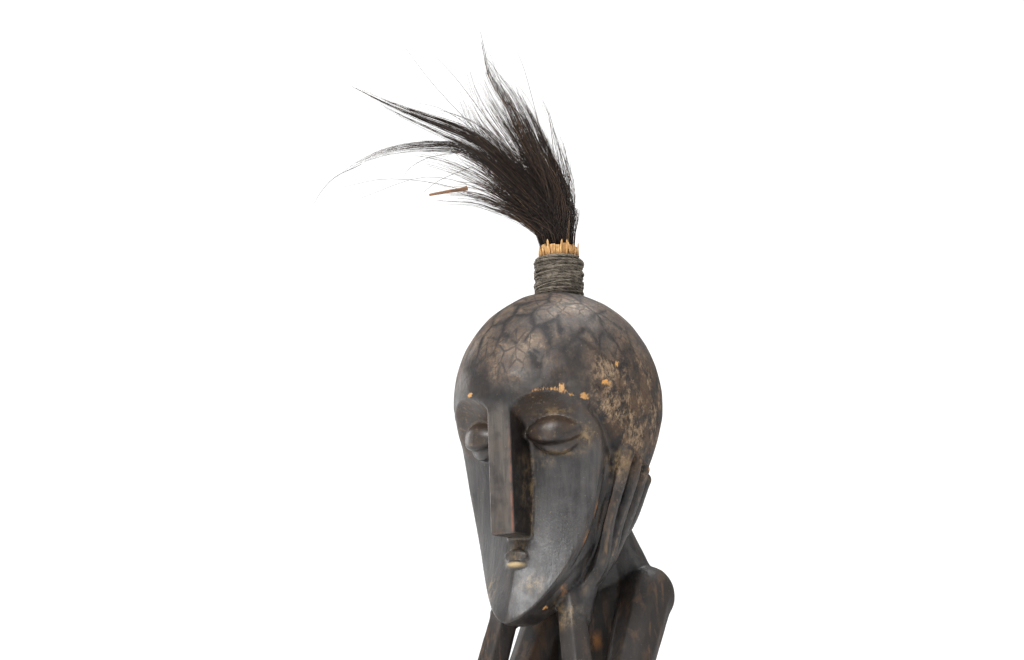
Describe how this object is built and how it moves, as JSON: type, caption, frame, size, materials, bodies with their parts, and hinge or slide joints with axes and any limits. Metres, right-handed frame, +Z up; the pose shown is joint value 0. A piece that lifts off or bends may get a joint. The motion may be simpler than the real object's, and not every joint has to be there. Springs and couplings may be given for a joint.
{
  "type": "carved wood sculpture of a seated thinking figure",
  "caption": "Seated thinking figure carved from dark stained wood, chin held in its long hands and elbows on its knees, with a tuft of dark hair bound upright on the crown.",
  "frame": {"origin": "on the floor, at the middle of the base's underside", "axes": "+Z up; the figure faces -Y and its own left side is at +X"},
  "size_m": [0.2402, 0.2168, 0.7968],
  "materials": {
    "stained_wood": "dark stained wood rubbed to a dull grey sheen, worn brown on its edges",
    "dark_cord": "matt twisted twine, dark and dusty",
    "split_wood": "raw split wood, golden and rough",
    "horse_hair": "coarse dark hair with a soft shine"
  },
  "bodies": {
    "root": {"carved_figure": "stained_wood", "cord_binding": "dark_cord", "splint_ring": "split_wood", "hair_tuft": "horse_hair"}
  },
  "joints": []
}
